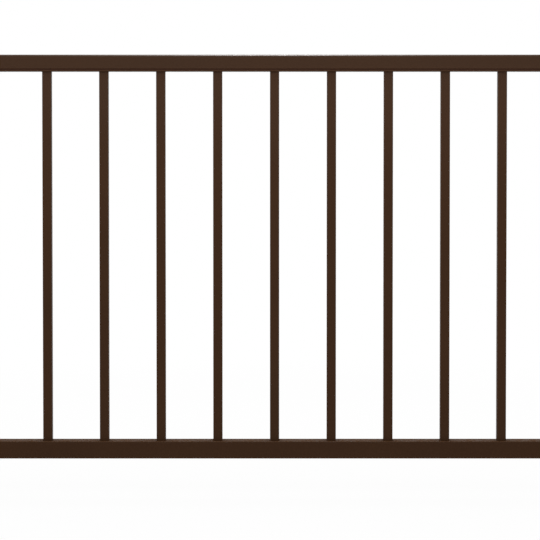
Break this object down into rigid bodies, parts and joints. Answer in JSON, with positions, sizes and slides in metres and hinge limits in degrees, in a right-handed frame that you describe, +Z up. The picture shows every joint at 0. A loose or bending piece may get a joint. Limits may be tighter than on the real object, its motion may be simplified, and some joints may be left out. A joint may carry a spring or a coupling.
{
  "type": "deck railing section",
  "caption": "Straight deck railing section: square balusters between a capped top rail and a square bottom rail, with a socket bracket at each rail end",
  "frame": {"origin": "centre of the post face of the lower left bracket's flange", "axes": "+X along the rails from the left post to the right one, -Y towards the pictured face, +Z up"},
  "size_m": [1.829, 0.0476, 0.8773],
  "materials": {
    "baluster_coat": "satin dark bronze powder coat on extruded aluminium",
    "rail_coat": "satin dark bronze powder coat on extruded aluminium",
    "bracket_coat": "satin dark bronze powder coat on cast aluminium"
  },
  "bodies": {
    "root": {"baluster_01": "baluster_coat", "baluster_02": "baluster_coat", "baluster_03": "baluster_coat", "baluster_04": "baluster_coat", "baluster_05": "baluster_coat", "baluster_06": "baluster_coat", "baluster_07": "baluster_coat", "baluster_08": "baluster_coat", "baluster_09": "baluster_coat", "baluster_10": "baluster_coat", "baluster_11": "baluster_coat", "baluster_12": "baluster_coat", "baluster_13": "baluster_coat", "baluster_14": "baluster_coat", "baluster_15": "baluster_coat", "top_rail_channel": "rail_coat", "top_rail_cap": "rail_coat", "bottom_rail": "rail_coat", "bracket_lower_left": "bracket_coat", "bracket_lower_right": "bracket_coat", "bracket_upper_left": "bracket_coat", "bracket_upper_right": "bracket_coat"}
  },
  "joints": []
}
